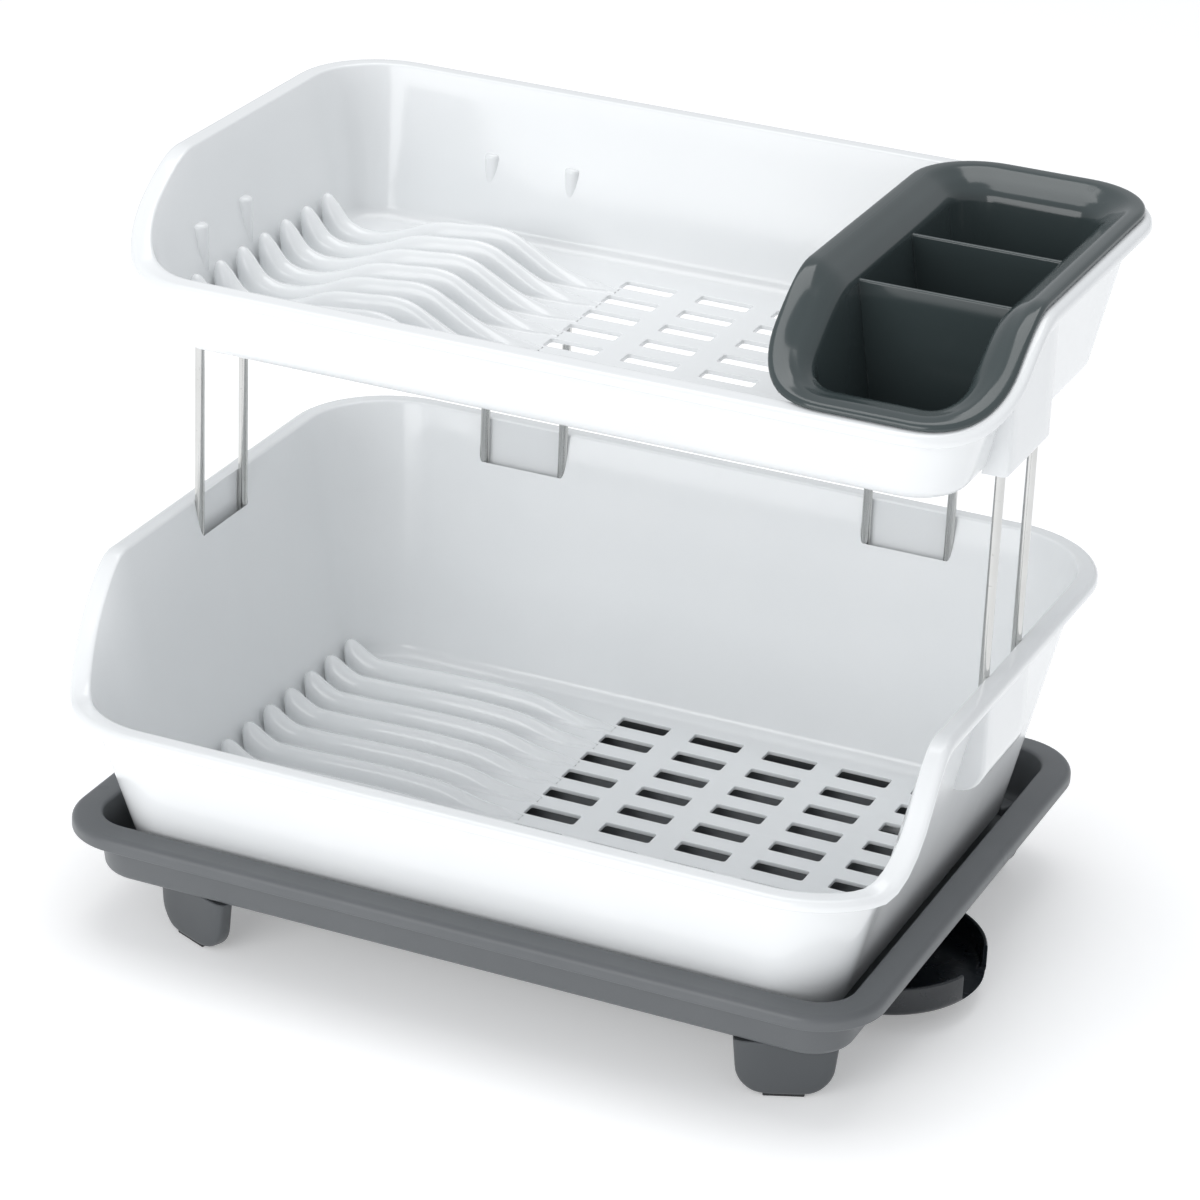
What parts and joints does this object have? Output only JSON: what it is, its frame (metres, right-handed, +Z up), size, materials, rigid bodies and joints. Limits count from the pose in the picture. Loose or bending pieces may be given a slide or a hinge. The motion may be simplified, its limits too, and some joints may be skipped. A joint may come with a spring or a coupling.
{
  "type": "two-tier dish drying rack",
  "caption": "Two-tier dish drying rack: slotted baskets with plate ribs on bent wire legs, a drip tray with a swivel drain spout, and a hanging cutlery holder.",
  "frame": {"origin": "on the floor under the middle of the rack's footprint", "axes": "+X to the right along the rack's length, +Y to the high back, +Z up"},
  "size_m": [0.464, 0.341, 0.3685],
  "materials": {
    "basket_plastic": "glossy white moulded plastic",
    "tray_plastic": "satin grey moulded plastic",
    "holder_plastic": "glossy dark grey moulded plastic",
    "spout_plastic": "glossy black moulded plastic",
    "seal_rubber": "soft dark rubber",
    "wire_chrome": "bright plated wire"
  },
  "bodies": {
    "base": {"drip_tray": "tray_plastic", "tray_foot_front_left": "tray_plastic", "tray_foot_front_right": "tray_plastic", "tray_foot_rear_left": "tray_plastic", "tray_foot_rear_right": "tray_plastic", "foot_pad_front_left": "seal_rubber", "foot_pad_front_right": "seal_rubber", "foot_pad_rear_left": "seal_rubber", "foot_pad_rear_right": "seal_rubber"},
    "spout": {"drain_spout": "spout_plastic", "spout_seal": "seal_rubber", "spout_nut": "spout_plastic"},
    "lower_basket": {"lower_basket": "basket_plastic", "wire_leg_left": "wire_chrome", "wire_leg_right": "wire_chrome", "wire_leg_rear_left": "wire_chrome", "wire_leg_rear_right": "wire_chrome"},
    "upper_basket": {"upper_basket": "basket_plastic"},
    "cutlery_holder": {"cutlery_holder": "holder_plastic"}
  },
  "joints": [
    {"name": "spout_swing", "type": "hinge", "parent": "base", "child": "spout", "pos_m": [0.139, -0.021, 0.027], "axis": [0, 0, 1], "continuous": true},
    {"name": "basket_lift", "type": "slide", "parent": "base", "child": "lower_basket", "axis": [0, 0, 1], "range_m": [0, 0.12]},
    {"name": "upper_lift", "type": "slide", "parent": "lower_basket", "child": "upper_basket", "axis": [0, 0, 1], "range_m": [0, 0.12]},
    {"name": "holder_lift", "type": "slide", "parent": "upper_basket", "child": "cutlery_holder", "axis": [0, 0, 1], "range_m": [0, 0.11]}
  ]
}
